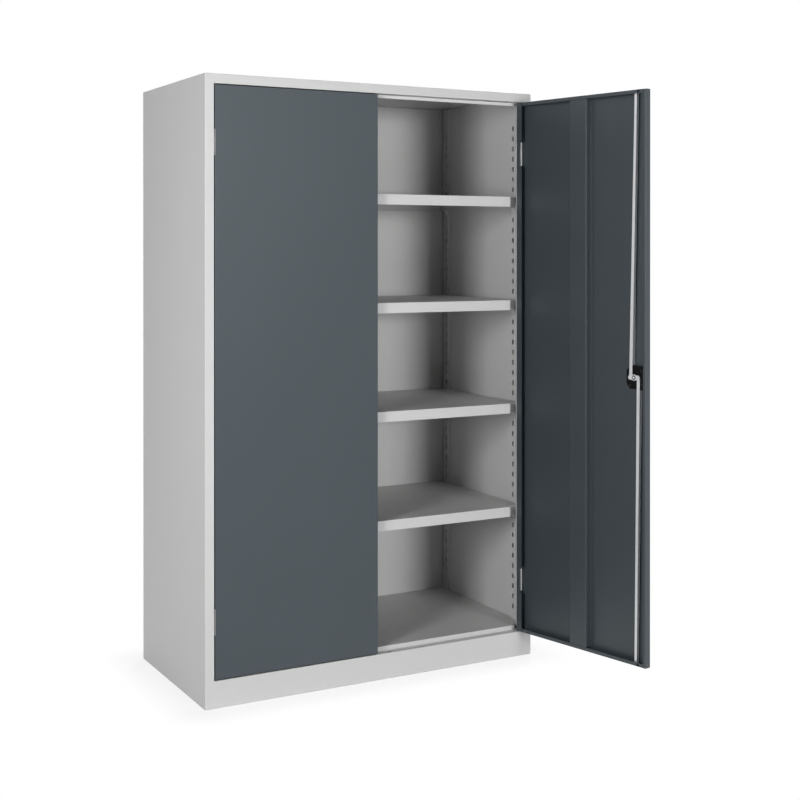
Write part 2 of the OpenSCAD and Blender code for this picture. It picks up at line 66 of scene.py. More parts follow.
# paints, metals and plastic, linear RGB
LIGHT_GREY = (0.590, 0.592, 0.588)
LIGHT_GREY_WORN = (0.66, 0.67, 0.66)
DARK_GREY = (0.048, 0.061, 0.071)
DARK_GREY_WORN = (0.10, 0.115, 0.125)
ZINC = (0.860, 0.866, 0.870)
ZINC_CLOUD = (0.810, 0.825, 0.845)
BARE_STEEL = (0.66, 0.66, 0.67)
BLACKED_STEEL = (0.012, 0.012, 0.013)
BROWN_OXIDE = (0.020, 0.017, 0.015)
BLACK = (0.0025, 0.0025, 0.0028)
BLACK_CLOUD = (0.006, 0.006, 0.0066)
# lighter black for plastic edges: partly rubbing wear, partly a painted highlight
BLACK_RUBBED_AND_HIGHLIT = (0.016, 0.016, 0.0175)
DUST = (0.46, 0.44, 0.41)
# painted shade: the near-black that narrow gaps are darkened towards
GAP_SHADE_BLACK = (0.006, 0.006, 0.006)
FLOOR = (0.94, 0.94, 0.94)
WHITE = (1.0, 1.0, 1.0)

# the front frame round the doors, the plinth and the posts' rounded edges
FRAME_W = 0.030
PLINTH_H = 0.084
POST_BEND = 0.002

# how far the lock's axis starts behind the shut door's face
AXIS_BEHIND_FACE = 0.018

# the turn handle and its rosette, heights measured out from the door's face
HANDLE_HALF = 0.030
HANDLE_BASE = 0.0085
HANDLE_TOP = 0.0246
WING_HALF_W = 0.0072
WING_LIFT = 0.0015
HUB_R = 0.012
HUB_SWELL = 0.0025
HUB_BACK = 0.0004
HUB_TOP = 0.0120
HUB_CHAMFER = 0.0004
ROSETTE_R = 0.028
ROSETTE_T = 0.007
ROSETTE_BORE_GAP = 0.0003
RIM_ROUND = 0.002
SHOULDER_ROUND = 0.0022
GROOVE_DEEP = 0.0006

# the cam's outer side behind the door's face, and the screw and washer on it
CAM_FACE = 0.0207
CONTACT_GAP = 0.00002
WASHER_R = 0.0068
WASHER_T = 0.0012
WASHER_BEVEL_R = 0.0006
WASHER_BEVEL_T = 0.0004
SCREW_HEAD_R = 0.0040
SCREW_DOME_R = 0.0045
SCREW_DOME_CENTRE = 0.0024
SOCKET_R = 0.0016
SOCKET_FLOOR = 0.0010

# the rods' slots in the door's ends: sideways from the spindle, out from the face, and the
# height of an end's inner side above or below the spindle
UPPER_SLOT = (-0.00995, 0.00321)
LOWER_SLOT = (-0.01321, -0.00005)
SLOT_DEPTH = (-0.0182, -0.0058)
END_INSIDE = 0.9139

# the collar in a slot: how far its wall stands out from the slot's sides, and how far in
# from the door's end, from the bore's foot over the flared mouth to the foot flange
COLLAR_WALL = (0.0002, 0.0002, 0.0010, 0.0014, 0.0018, 0.0018, 0.0034, 0.0034)
COLLAR_RISE = (0.0, 0.0066, 0.0080, 0.0082, 0.0078, 0.0014, 0.0010, 0.0)

# a spot weld's dimple: heights over the sheet at growing radii
WELD_RADII = (0.0016, 0.0022, 0.0026, 0.0029, 0.0032)
WELD_HEIGHTS = (0.00004, 0.00006, 0.00014, 0.00010, -0.00005)
WELD_PITCH = 0.12
WELD_START = 0.09
WELD_STOP = 1.90
WELD_FROM_SIDE = 0.014
WELD_BELOW_TOP = 0.013
TOP_WELD_HALF = 0.52
TOP_WELDS = 9

# the ground seams: how far they stand proud, and how far they lap over their neighbours
SEAM_PROUD = 0.00002
SEAM_LAP = 0.0004


# ---------------------------------------------------------------- meshes

def mesh_piece(name, verts, faces, material, smooth=True):
    """One object at the origin from a vertex array and a list of faces."""
    mesh = bpy.data.meshes.new(name)
    mesh.from_pydata(verts.tolist(), [], faces)
    mesh.update()
    mesh.materials.append(material)
    mesh.polygons.foreach_set("use_smooth", [smooth] * len(mesh.polygons))
    piece = bpy.data.objects.new(name, mesh)
    bpy.context.scene.collection.objects.link(piece)
    return piece


def ride(piece, body):
    """Makes a piece move with a body."""
    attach(piece, body)


def grid_faces(rows, cols, wrap):
    """Quads of a grid of rows by cols points; wrap joins the last column to the first."""
    i, j = np.meshgrid(np.arange(rows - 1), np.arange(cols if wrap else cols - 1),
                       indexing="ij")
    k = (j + 1) % cols
    quads = np.stack([i * cols + j, i * cols + k, (i + 1) * cols + k, (i + 1) * cols + j], -1)
    return quads.reshape(-1, 4)


def flipped(faces):
    """The same faces seen from their other side."""
    return [face[::-1] for face in faces]


def round_angles(count):
    """A full turn in equal steps, the end left out."""
    return np.linspace(0, 2 * math.pi, count, endpoint=False)


def arc(centre, radius, start, stop, steps):
    """Points of an arc in a profile, centre plus radius times (cos a, sin a), in degrees."""
    a = np.radians(np.linspace(start, stop, steps))
    return np.stack([centre[0] + radius * np.cos(a), centre[1] + radius * np.sin(a)], -1)


def squared_circle(angle, power):
    """Cosine and sine of each angle, raised to a power with their signs kept."""
    return [np.sign(wave) * np.abs(wave) ** power for wave in (np.cos(angle), np.sin(angle))]


def end_fans(first, last, last_row, cols):
    """Triangles from the first row of a grid to one point and from the last to another."""
    k = np.arange(cols)
    n = (k + 1) % cols
    start = np.stack([np.full(cols, first), n, k], -1)
    stop = np.stack([np.full(cols, last), last_row + k, last_row + n], -1)
    return start.tolist() + stop.tolist()


def turned(profile, sides=64):
    """A closed solid of revolution about the local Z axis.

    Point (r, h) of the profile goes to (r cos a, r sin a, h) at each angle a; the
    first and last points lie on the axis, so the ends close by themselves.
    """
    profile = np.asarray(profile, float)
    angle = round_angles(sides)
    r, h = profile[1:-1, 0], profile[1:-1, 1]
    ring = np.stack([r[:, None] * np.cos(angle), r[:, None] * np.sin(angle),
                     np.repeat(h[:, None], sides, 1)], -1).reshape(-1, 3)
    ends = np.array([[0, 0, profile[0, 1]], [0, 0, profile[-1, 1]]])
    faces = grid_faces(len(r), sides, True).tolist()
    faces += end_fans(len(ring), len(ring) + 1, (len(r) - 1) * sides, sides)
    return np.vstack([ring, ends]), faces


def ring_solid(profile, sides=72):
    """A closed ring: a closed profile of (r, h) points carried round the Z axis."""
    profile = np.asarray(profile, float)
    angle = round_angles(sides)
    r, h = profile[:, 0], profile[:, 1]
    ring = np.stack([np.cos(angle)[:, None] * r, np.sin(angle)[:, None] * r,
                     np.repeat(h[None, :], sides, 0)], -1)
    faces = grid_faces(sides + 1, len(profile), True) % (sides * len(profile))
    return ring.reshape(-1, 3), flipped(faces.tolist())


# ---------------------------------------------------------------- the lock's own frame

def joint(name):
    """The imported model's joint of that name."""
    return next(j for j in frame["record"]["behaviour"]["joints"] if j["name"] == name)


LOCK = joint("handle_turn")
UP = Vector((0, 0, 1))
OUT = Vector(LOCK["axis"]).normalized()
ALONG = UP.cross(-OUT).normalized() * -1
FACE_AT = Vector(LOCK["pos_m"]) + OUT * AXIS_BEHIND_FACE


def on_door(points):
    """Points (along the door, up, out of its face) about the spindle, put in the frame."""
    basis = np.array([ALONG, UP, OUT])
    return np.asarray(points) @ basis + np.array(FACE_AT)


# ---------------------------------------------------------------- shader helpers

FLOAT = "NodeSocketFloat"
VECTOR = "NodeSocketVector"


def new_group(name, inputs, outputs):
    """A shader node group with named float, colour or vector sockets."""
    group = bpy.data.node_groups.new(name, "ShaderNodeTree")
    for label, kind, value in inputs:
        socket = group.interface.new_socket(label, in_out="INPUT", socket_type=kind)
        socket.default_value = value
    for label, kind in outputs:
        group.interface.new_socket(label, in_out="OUTPUT", socket_type=kind)
    return group, group.nodes.new("NodeGroupInput"), group.nodes.new("NodeGroupOutput")


def node(tree, kind, values=None, **settings):
    """A node with its settings and socket values."""
    made = tree.nodes.new(kind)
    for key, value in settings.items():
        setattr(made, key, value)
    for key, value in (values or {}).items():
        made.inputs[key].default_value = value
    return made


def place(tree, group, values=None):
    """A node group put in a material with its own values."""
    made = node(tree, "ShaderNodeGroup")
    made.node_tree = group
    for key, value in (values or {}).items():
        made.inputs[key].default_value = value
    return made


def feed(tree, socket, value):
    """Links a socket to a value's socket, or sets it to a number or a colour."""
    if isinstance(value, bpy.types.NodeSocket):
        tree.links.new(value, socket)
    elif isinstance(value, tuple):
        socket.default_value = (*value, 1.0)
    else:
        socket.default_value = value


def maths(tree, operation, a, b=None, c=None, clamp=False):
    """A Math node of up to three numbers or sockets; returns its output."""
    made = node(tree, "ShaderNodeMath", operation=operation, use_clamp=clamp)
    for socket, value in zip(made.inputs, (a, b, c)):
        if value is not None:
            feed(tree, socket, value)
    return made.outputs[0]


def mix_colour(tree, factor, a, b, blend="MIX"):
    """Mix of two colours, each a socket or a value; returns the result."""
    made = node(tree, "ShaderNodeMix", data_type="RGBA", blend_type=blend)
    for label, value in (("Factor", factor), ("A", a), ("B", b)):
        feed(tree, made.inputs[label], value)
    return made.outputs["Result"]


def spread(tree, value, low, high, to_low, to_high):
    """A value stretched softly from one range to another and held inside it."""
    made = node(tree, "ShaderNodeMapRange",
                {"From Min": low, "From Max": high, "To Min": to_low, "To Max": to_high},
                interpolation_type="SMOOTHSTEP")
    tree.links.new(value, made.inputs["Value"])
    return made.outputs["Result"]


def own_place(tree):
    """The piece's own coordinates."""
    return node(tree, "ShaderNodeTexCoord").outputs["Object"]


def noise(tree, where, scale, detail):
    """Noise at a place; returns its factor, about 0.5."""
    made = node(tree, "ShaderNodeTexNoise", {"Scale": scale, "Detail": detail})
    tree.links.new(where, made.inputs["Vector"])
    return made.outputs[0]


def stretched(tree, where, scale, rotation=(0.0, 0.0, 0.0)):
    """A place stretched along its axes, so that a pattern on it is drawn out."""
    made = node(tree, "ShaderNodeMapping", {"Scale": scale, "Rotation": rotation})
    tree.links.new(where, made.inputs["Vector"])
    return made.outputs[0]


def bumped(tree, height, strength, distance, normal=None):
    """The normal of a surface raised by a height, over another normal if one is given."""
    made = node(tree, "ShaderNodeBump", {"Strength": strength, "Distance": distance})
    tree.links.new(height, made.inputs["Height"])
    if normal:
        tree.links.new(normal, made.inputs["Normal"])
    return made.outputs[0]


def give_mask(group, given, out, mask):
    """Puts a mask times the group's Amount out of the group."""
    group.links.new(maths(group, "MULTIPLY", mask, given.outputs["Amount"]),
                    out.inputs["Mask"])


# ---------------------------------------------------------------- effects that finishes share

def build_orange_peel():
    """Height of a sprayed powder coat: soft lumps of a few millimetres and finer grain."""
    group, _, out = new_group("orange_peel", [], [("Height", FLOAT), ("Speckle", FLOAT)])
    where = own_place(group)
    lumps = noise(group, where, 420.0, 2.0)
    grain = noise(group, where, 1500.0, 1.0)
    group.links.new(maths(group, "MULTIPLY_ADD", grain, 0.35, lumps), out.inputs["Height"])
    group.links.new(grain, out.inputs["Speckle"])
    return group


def build_soft_clouds():
    """Slow drift of a sprayed film: a factor about 1 over a quarter of a metre."""
    group, given, out = new_group("soft_clouds", [("Amount", FLOAT, 0.04)],
                                  [("Factor", FLOAT)])
    clouds = noise(group, own_place(group), 3.2, 3.0)
    centred = maths(group, "SUBTRACT", clouds, 0.5)
    scaled = maths(group, "MULTIPLY", centred, given.outputs["Amount"])
    group.links.new(maths(group, "ADD", scaled, 1.0), out.inputs["Factor"])
    return group


def build_rounded_edges():
    """Normal of a sheet's edge as if it had a small radius, and where that edge is."""
    group, _, out = new_group("rounded_edges", [], [("Normal", VECTOR), ("Edge", FLOAT)])
    bevel = node(group, "ShaderNodeBevel", {"Radius": 0.0008}, samples=4)
    sharp = node(group, "ShaderNodeNewGeometry").outputs["Normal"]
    agreement = node(group, "ShaderNodeVectorMath", operation="DOT_PRODUCT")
    group.links.new(bevel.outputs[0], agreement.inputs[0])
    group.links.new(sharp, agreement.inputs[1])
    edge = spread(group, agreement.outputs["Value"], 0.98, 0.80, 0.0, 1.0)
    group.links.new(bevel.outputs[0], out.inputs["Normal"])
    group.links.new(edge, out.inputs["Edge"])
    return group


def build_scuffs():
    """Patches of fine strokes where things have rubbed, 0 where the film is untouched."""
    group, given, out = new_group("scuffs", [("Amount", FLOAT, 0.3)], [("Mask", FLOAT)])
    where = own_place(group)
    slanted = stretched(group, where, (60.0, 60.0, 9.0), (0.3, 0.9, 0.2))
    strokes = spread(group, noise(group, slanted, 6.0, 6.0), 0.60, 0.72, 0.0, 1.0)
    patches = spread(group, noise(group, where, 7.0, 2.0), 0.52, 0.70, 0.0, 1.0)
    give_mask(group, given, out, maths(group, "MULTIPLY", strokes, patches))
    return group


def build_settled_dust():
    """Thin dust on what faces up, thicker where a slow noise gathers it."""
    group, given, out = new_group("settled_dust", [("Amount", FLOAT, 0.3)],
                                  [("Mask", FLOAT)])
    facing = node(group, "ShaderNodeSeparateXYZ")
    group.links.new(node(group, "ShaderNodeNewGeometry").outputs["Normal"], facing.inputs[0])
    level = spread(group, facing.outputs["Z"], 0.6, 1.0, 0.0, 1.0)
    gathered = spread(group, noise(group, own_place(group), 14.0, 5.0), 0.35, 0.75, 0.2, 1.0)
    give_mask(group, given, out, maths(group, "MULTIPLY", level, gathered))
    return group


def build_painted_gap_shade():
    """Painted shade in gaps a few millimetres wide, found by ambient occlusion: 1 deep in a
    gap, 0 on open faces and corners.
    """
    group, given, out = new_group("painted_gap_shade", [("Amount", FLOAT, 1.0)], [("Mask", FLOAT)])
    # painted shade: ambient occlusion over a few millimetres finds the narrow gaps
    open_sky = node(group, "ShaderNodeAmbientOcclusion", {"Distance": 0.005}, samples=4)
    give_mask(group, given, out, spread(group, open_sky.outputs["AO"], 0.28, 0.48, 1.0, 0.0))
    return group


ORANGE_PEEL = build_orange_peel()
SOFT_CLOUDS = build_soft_clouds()
ROUNDED_EDGES = build_rounded_edges()
SCUFFS = build_scuffs()
SETTLED_DUST = build_settled_dust()
PAINTED_GAP_SHADE = build_painted_gap_shade()


# ---------------------------------------------------------------- finishes

def new_material(name):
    """A material with one Principled shader; returns material, tree and shader."""
    material = bpy.data.materials.new(name)
    material.use_nodes = True
    tree = material.node_tree
    return material, tree, tree.nodes["Principled BSDF"]


def powder_coat(name, colour, worn, roughness, clouds, dust, scuffs):
    """Sprayed and baked paint.

    The colour drifts slowly, speckles finely, turns a little lighter where things have
    rubbed, is veiled by dust on level faces and darkened by painted shade in narrow
    gaps. The roughness follows the skin's lumps, the dust and the rubbing.
    """
    material, tree, shader = new_material(name)
    peel = place(tree, ORANGE_PEEL)
    drift = place(tree, SOFT_CLOUDS, {"Amount": clouds})
    rubbed = place(tree, SCUFFS, {"Amount": scuffs}).outputs["Mask"]
    settled = place(tree, SETTLED_DUST, {"Amount": dust}).outputs["Mask"]
    # painted shade: the colour is darkened in gaps a few millimetres wide
    gap_shade = place(tree, PAINTED_GAP_SHADE, {"Amount": 0.92}).outputs["Mask"]

    speckle = spread(tree, peel.outputs["Speckle"], 0.3, 0.7, 0.985, 1.015)
    shade = maths(tree, "MULTIPLY", drift.outputs["Factor"], speckle)
    tone = node(tree, "ShaderNodeCombineColor")
    for channel in tone.inputs:
        tree.links.new(shade, channel)
    film = mix_colour(tree, 1.0, colour, tone.outputs[0], blend="MULTIPLY")
    scuffed = mix_colour(tree, rubbed, film, worn)
    dusty = mix_colour(tree, settled, scuffed, DUST)
    feed(tree, shader.inputs["Base Color"], mix_colour(tree, gap_shade, dusty, GAP_SHADE_BLACK))

    base = spread(tree, peel.outputs["Height"], 0.3, 1.0, roughness - 0.04, roughness + 0.04)
    duller = maths(tree, "MULTIPLY_ADD", settled, 0.4, base)
    feed(tree, shader.inputs["Roughness"],
         maths(tree, "MULTIPLY_ADD", rubbed, -0.1, duller, clamp=True))
    feed(tree, shader.inputs["Normal"], bumped(tree, peel.outputs["Height"], 0.12, 0.0004))
    return material


def zinc_plate():
    """Bright zinc on drawn steel: long drawing lines and cloudy, duller passivation."""
    material, tree, shader = new_material("zinc_plate")
    where = own_place(tree)
    lines = noise(tree, stretched(tree, where, (900.0, 900.0, 12.0)), 1.0, 3.0)
    clouds = noise(tree, where, 45.0, 4.0)
    edges = place(tree, ROUNDED_EDGES)
    tint = spread(tree, clouds, 0.35, 0.65, 0.0, 1.0)
    plated = mix_colour(tree, tint, ZINC, ZINC_CLOUD)
    streak = spread(tree, lines, 0.30, 0.70, 0.0, 0.30)
    feed(tree, shader.inputs["Base Color"], mix_colour(tree, streak, plated, BARE_STEEL))
    shader.inputs["Metallic"].default_value = 0.4
    feed(tree, shader.inputs["Roughness"], spread(tree, clouds, 0.3, 0.7, 0.36, 0.52))
    feed(tree, shader.inputs["Normal"],
         bumped(tree, lines, 0.10, 0.0002, edges.outputs["Normal"]))
    return material


def moulded_plastic():
    """Black moulded plastic with a spark-eroded skin, polished and lighter on its edges,
    partly from wear and partly as a painted highlight.
    """
    material, tree, shader = new_material("moulded_plastic")
    shader.inputs["Specular IOR Level"].default_value = 0.12
    where = own_place(tree)
    skin = node(tree, "ShaderNodeTexVoronoi", {"Scale": 1400.0})
    tree.links.new(where, skin.inputs["Vector"])
    edges = place(tree, ROUNDED_EDGES)
    settled = place(tree, SETTLED_DUST, {"Amount": 0.15}).outputs["Mask"]
    pale = spread(tree, noise(tree, where, 60.0, 3.0), 0.3, 0.7, 0.0, 1.0)
    body = mix_colour(tree, pale, BLACK, BLACK_CLOUD)
    # lighter edges: partly rubbing wear, partly a painted highlight
    polished = maths(tree, "MULTIPLY", edges.outputs["Edge"], 0.4)
    rubbed = mix_colour(tree, polished, body, BLACK_RUBBED_AND_HIGHLIT)
    feed(tree, shader.inputs["Base Color"], mix_colour(tree, settled, rubbed, DUST))
    gloss = maths(tree, "MULTIPLY_ADD", edges.outputs["Edge"], -0.12, 0.48)
    feed(tree, shader.inputs["Roughness"], maths(tree, "MULTIPLY_ADD", pale, 0.06, gloss))
    feed(tree, shader.inputs["Normal"],
         bumped(tree, skin.outputs["Distance"], 0.18, 0.0003, edges.outputs["Normal"]))
    return material


def blackened_steel():
    """Oiled black oxide on screw heads: brown-black clouds, bright on the edges, partly where
    a tool has turned and partly as a painted highlight.
    """
    material, tree, shader = new_material("blackened_steel")
    clouds = noise(tree, own_place(tree), 300.0, 4.0)
    edges = place(tree, ROUNDED_EDGES)
    tint = spread(tree, clouds, 0.35, 0.65, 0.0, 1.0)
    oxide = mix_colour(tree, tint, BLACKED_STEEL, BROWN_OXIDE)
    # brighter edges: partly tool wear, partly a painted highlight
    bright = maths(tree, "MULTIPLY", edges.outputs["Edge"], 0.25)
    feed(tree, shader.inputs["Base Color"], mix_colour(tree, bright, oxide, BARE_STEEL))
    shader.inputs["Metallic"].default_value = 0.3
    shader.inputs["Specular IOR Level"].default_value = 0.3
    feed(tree, shader.inputs["Roughness"], spread(tree, clouds, 0.3, 0.7, 0.35, 0.55))
    feed(tree, shader.inputs["Normal"], edges.outputs["Normal"])
    return material


LIGHT_PAINT = powder_coat("light_grey_powder_coat", LIGHT_GREY, LIGHT_GREY_WORN,
                          roughness=0.42, clouds=0.05, dust=0.10, scuffs=0.05)
DARK_PAINT = powder_coat("anthracite_powder_coat", DARK_GREY, DARK_GREY_WORN,
                         roughness=0.40, clouds=0.10, dust=0.12, scuffs=0.10)
ZINC_PLATE = zinc_plate()
PLASTIC = moulded_plastic()
BLACK_OXIDE = blackened_steel()

FINISH = {
    "light_grey_paint": LIGHT_PAINT,
    "dark_grey_paint": DARK_PAINT,
    "zinc_plated": ZINC_PLATE,
    "black_plastic": PLASTIC,
    "black_steel": BLACK_OXIDE,
}


def dress_cad_nodes():
    """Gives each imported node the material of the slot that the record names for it."""
    for part in frame["record"]["subparts"]:
        for slot in frame["nodes"][part["node"]].material_slots:
            slot.material = FINISH[part["material_slot"]]


# ---------------------------------------------------------------- turn handle and rosette

def wing_handle():
    """The turning handle's two wings and their swell over the hub, one closed skin.

    At position t from -1 to 1 along the handle the section is a superellipse, width times
    |cos|^0.8 by height times |sin|^0.8. The width is the hub's at the middle, falls to the
    wing's as 1 / (1 + (2.6 t)^4) and closes at the tips as (1 - t^8)^0.5; the height is
    crowned by 1 - 0.35 t^2.
    """
    rows, cols = 81, 48
    t = np.sin(np.linspace(-math.pi / 2, math.pi / 2, rows))[1:-1]
    close = np.sqrt(1 - t ** 8)
    swell = HUB_R + HUB_SWELL - WING_HALF_W
    wide = (WING_HALF_W + swell / (1 + (2.6 * t) ** 4)) * close
    tall = (HANDLE_TOP - HANDLE_BASE) / 2 * (1 - 0.35 * t ** 2) * close
    middle = HANDLE_BASE + tall + WING_LIFT * t ** 2
    c, s = squared_circle(round_angles(cols), 0.8)
    along = np.repeat(t[:, None] * HANDLE_HALF, cols, 1)
    skin = np.stack([along, wide[:, None] * c, middle[:, None] + tall[:, None] * s], -1)
    tips = np.array([[-HANDLE_HALF, 0, middle[0]], [HANDLE_HALF, 0, middle[-1]]])
    verts = np.vstack([skin.reshape(-1, 3), tips])
    faces = grid_faces(len(t), cols, True).tolist()
    faces += end_fans(len(verts) - 2, len(verts) - 1, (len(t) - 1) * cols, cols)
    return verts, faces


def hub():
    """The handle's round hub, chamfered at its back and more widely at its front."""
    return turned([(0, HUB_BACK), (HUB_R - HUB_CHAMFER, HUB_BACK),
                   (HUB_R, HUB_BACK + HUB_CHAMFER), (HUB_R, HUB_TOP - 0.002),
                   (HUB_R - 0.001, HUB_TOP), (0, HUB_TOP)])


def rosette():
    """The round plate under the handle, a ring with a rounded rim and shoulder.

    A shallow groove with sloping sides is turned into its face close to the hub.
    """
    bore = HUB_R + ROSETTE_BORE_GAP
    section = [(bore, 0.0), (ROSETTE_R - 0.0005, 0.0)]
    section += arc((ROSETTE_R - RIM_ROUND, ROSETTE_T - 0.003), RIM_ROUND, 0, 60, 6).tolist()
    section += arc((ROSETTE_R - 0.006, ROSETTE_T - SHOULDER_ROUND), SHOULDER_ROUND,
                   70, 90, 3).tolist()
    section += [(HUB_R + 0.006, ROSETTE_T), (HUB_R + 0.0055, ROSETTE_T - GROOVE_DEEP),
                (HUB_R + 0.0045, ROSETTE_T - GROOVE_DEEP), (HUB_R + 0.004, ROSETTE_T),
                (bore, ROSETTE_T)]
    return ring_solid(section)


def build_handle():
    """Handle and rosette in place of the plain solids of the same size."""
    for name, (verts, faces), body, stands_for in (
            ("wing_handle", wing_handle(), "handle", "turn_handle"),
            ("handle_hub", hub(), "handle", None),
            ("rosette", rosette(), "right_door", "handle_rosette")):
        piece = mesh_piece(name, on_door(verts), faces, PLASTIC)
        ride(piece, body)
        if stands_for:
            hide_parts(stands_for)


# ---------------------------------------------------------------- the cam's screw

def build_cam_screw():
    """Bright domed head on a black washer, in place of the plain screw on the cam.

    The washer's rim is bevelled; the head's side rises to a circle's arc that runs in
    towards the axis, and a shallow socket is turned into its top. The washer's black is
    painted shade, a dark ring standing for the shadow round the head.
    """
    face = -(CAM_FACE + CONTACT_GAP)
    seat = face - WASHER_T
    flat_r = WASHER_R - WASHER_BEVEL_R
    washer = turned([(0, face), (flat_r, face), (WASHER_R, face - WASHER_BEVEL_T),
                     (WASHER_R, seat + WASHER_BEVEL_T), (flat_r, seat), (0, seat)], 48)
    dome = arc((0, seat + SCREW_DOME_CENTRE), SCREW_DOME_R, -35, -64, 8).tolist()
    head = turned([(0, seat), (SCREW_HEAD_R, seat), *dome,
                   (SOCKET_R, seat - SOCKET_FLOOR), (0, seat - SOCKET_FLOOR)], 48)
    for name, (verts, faces), material, slot, stands_for in (
            # painted shade: the washer's black stands for the shadow ring round the screw head
            ("cam_shade_washer", washer, BLACK_OXIDE, "black_steel", None),
            ("cam_screw_head", head, ZINC_PLATE, "zinc_plated", "cam_screw")):
        piece = mesh_piece(name, on_door(verts), flipped(faces), material)
        ride(piece, "handle")
        if stands_for:
            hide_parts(stands_for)


# ---------------------------------------------------------------- the rods' guides

def rod_guide(sideways, end):
    """A plastic collar round one rod slot, seated inside the door's end.

    Its sections are rounded rectangles, half-width times |cos|^0.25 by half-depth times
    |sin|^0.25, carried up the inside, which flares at the mouth, over the rim and down
    the outside to a foot flange, and closed on themselves.
    """
    cols = 64
    c, s = squared_circle(round_angles(cols) + math.pi / cols, 0.25)
    wall = np.array(COLLAR_WALL)
    height = end * (END_INSIDE - np.array(COLLAR_RISE))
    middle = (sum(sideways) / 2, sum(SLOT_DEPTH) / 2)
    half = ((sideways[1] - sideways[0]) / 2, (SLOT_DEPTH[1] - SLOT_DEPTH[0]) / 2)
    skin = np.stack([middle[0] + (half[0] + wall)[:, None] * c,
                     np.repeat(height[:, None], cols, 1),
                     middle[1] + (half[1] + wall)[:, None] * s], -1)
    faces = (grid_faces(len(wall) + 1, cols, True) % (len(wall) * cols)).tolist()
    return skin.reshape(-1, 3), flipped(faces) if end > 0 else faces


def build_rod_guides():
    """The collars that the rods' tips slide in, at the locked door's top and bottom."""
    for name, sideways, end in (("upper_rod_guide", UPPER_SLOT, 1),
                                ("lower_rod_guide", LOWER_SLOT, -1)):
        verts, faces = rod_guide(sideways, end)
        guide = mesh_piece(name, on_door(verts), faces, PLASTIC)
        ride(guide, "right_door")


# ---------------------------------------------------------------- welds

def weld_craters(centres, normal, across):
    """Shallow ringed dimples of a spot-welding electrode, all in one mesh.

    Each is a surface of revolution: a low flat floor, a raised ring round it and an edge
    that dips under the sheet, closed there by a disc.
    """
    sides = 16
    r, h = np.array(WELD_RADII), np.array(WELD_HEIGHTS)
    a = round_angles(sides)
    normal = np.array(normal, float)
    u = np.array(across, float)
    v = np.cross(normal, u)
    ring = (r[:, None, None] * (np.cos(a)[None, :, None] * u + np.sin(a)[None, :, None] * v)
            + h[:, None, None] * normal).reshape(-1, 3)
    one = np.vstack([ring, normal * h[0], normal * h[-1]])
    shell = grid_faces(len(r), sides, True).tolist()
    shell += end_fans(len(one) - 2, len(one) - 1, (len(r) - 1) * sides, sides)
    faces = []
    for count in range(len(centres)):
        faces += [[point + count * len(one) for point in face] for face in flipped(shell)]
    verts = (np.asarray(centres)[:, None, :] + one[None]).reshape(-1, 3)
    return verts, faces


def build_weld_marks():
    """Rows of spot welds on the rear flanges of the side panels and of the top panel."""
    _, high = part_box("side_right")
    back = high[1]
    row_x = high[0] - WELD_FROM_SIDE
    column = np.arange(WELD_START, WELD_STOP, WELD_PITCH)
    sides = [(side * row_x, back, z) for side in (-1, 1) for z in column]
    top = [(x, back, high[2] - WELD_BELOW_TOP)
           for x in np.linspace(-TOP_WELD_HALF, TOP_WELD_HALF, TOP_WELDS)]
    verts, faces = weld_craters(np.array(sides + top), (0, 1, 0), (1, 0, 0))
    marks = mesh_piece("rear_spot_welds", verts, faces, LIGHT_PAINT)
    ride(marks, "carcass")


def dressed_seam(low, high):
    """Weld metal ground flush where head or plinth meets the right post's rounded edge.

    The section fills the groove: a flat face just proud of the sheets, the post's arc
    back to the sheet's end, and a short side inside; it is drawn out from one height to
    another.
    """
    corner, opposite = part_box("side_right")
    end, front = opposite[0] - FRAME_W, corner[1]
    face = front - SEAM_PROUD
    section = np.vstack([[(end - SEAM_LAP, face), (end + POST_BEND + SEAM_LAP, face)],
                         arc((end + POST_BEND, front + POST_BEND), POST_BEND, 270, 180, 8),
                         [(end - SEAM_LAP, front + POST_BEND)]])
    n = len(section)
    verts = np.vstack([np.column_stack([section, np.full(n, z)]) for z in (low, high)])
    faces = grid_faces(2, n, True).tolist()
    return verts, faces + [list(range(n)), list(range(2 * n - 1, n - 1, -1))]


def build_dressed_seams():
    """Both ends of the plinth and of the head; the left ones mirror the right ones."""
    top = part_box("side_right")[1][2]
    for member, low, high in (("plinth", 0.0, PLINTH_H - 0.001),
                              ("head", top - FRAME_W, top - POST_BEND)):
        for side, sign in (("right", 1), ("left", -1)):
            verts, faces = dressed_seam(low, high)
            verts[:, 0] *= sign
            seam = mesh_piece(f"{member}_seam_{side}", verts,
                              faces if sign > 0 else flipped(faces), LIGHT_PAINT,
                              smooth=False)
            ride(seam, "carcass")


# ---------------------------------------------------------------- floor, light and camera

def seen_directly(tree):
    """1 for the camera's rays and for those in gloss and glass, 0 for matt light."""
    path = node(tree, "ShaderNodeLightPath")
    direct = maths(tree, "MAXIMUM", path.outputs["Is Camera Ray"],
                   path.outputs["Is Glossy Ray"])
    return maths(tree, "MAXIMUM", direct, path.outputs["Is Transmission Ray"])


def mixed_surface(tree, factor, a, b, target):
    """Mixes two shaders by a factor into an output's surface."""
    made = node(tree, "ShaderNodeMixShader")
    for socket, value in zip(made.inputs, (factor, a, b)):
        tree.links.new(value, socket)
    tree.links.new(made.outputs[0], target.inputs["Surface"])


